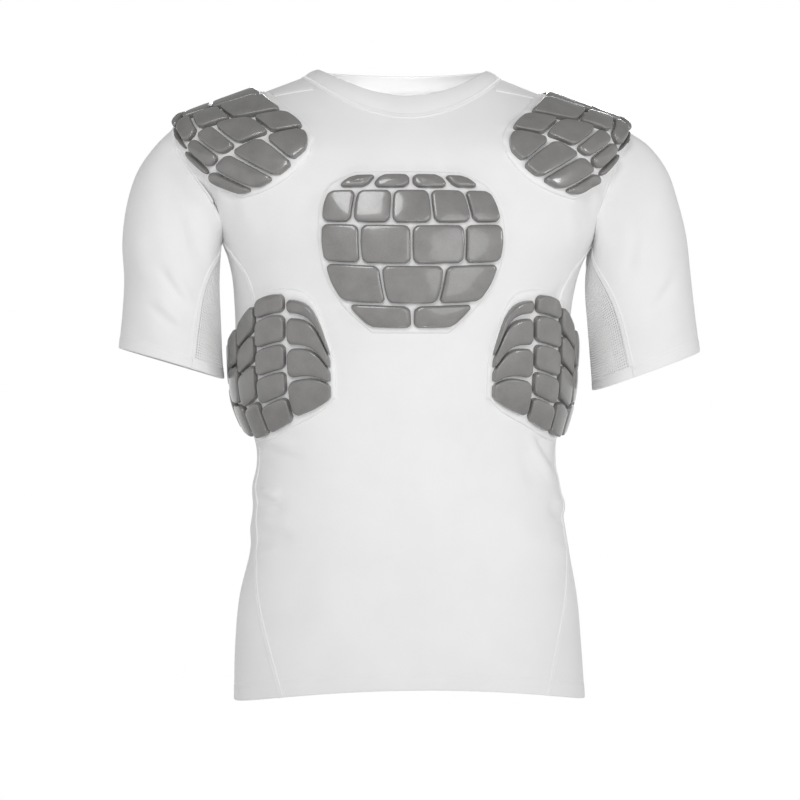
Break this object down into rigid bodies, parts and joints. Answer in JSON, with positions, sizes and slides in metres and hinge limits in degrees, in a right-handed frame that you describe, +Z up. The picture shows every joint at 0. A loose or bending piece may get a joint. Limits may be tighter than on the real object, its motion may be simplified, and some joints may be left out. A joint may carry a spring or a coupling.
{
  "type": "padded compression shirt",
  "caption": "White short-sleeved compression shirt, worn and hollow, with underarm mesh and raised grey pods on chest, shoulder and rib pads.",
  "frame": {"origin": "midway between the wearer's shoulders, just below the collar, where the shoulders hold the shirt up", "axes": "+Z up, the front of the shirt faces -Y, +X to the viewer's right"},
  "size_m": [0.657, 0.2549, 0.7081],
  "materials": {
    "knit": "smooth white stretch knit",
    "mesh": "white mesh knit with small round holes",
    "pod": "glossy mid-grey moulded pods on a white base"
  },
  "bodies": {
    "root": {"front_panel": "knit", "back_panel": "knit", "collar_band": "knit", "side_panel_left": "knit", "sleeve_left": "knit", "underarm_mesh_left": "mesh", "side_panel_right": "knit", "sleeve_right": "knit", "underarm_mesh_right": "mesh", "chest_pad": "pod", "shoulder_pad_left": "pod", "shoulder_pad_right": "pod", "rib_pad_left": "pod", "rib_pad_right": "pod"}
  },
  "joints": []
}
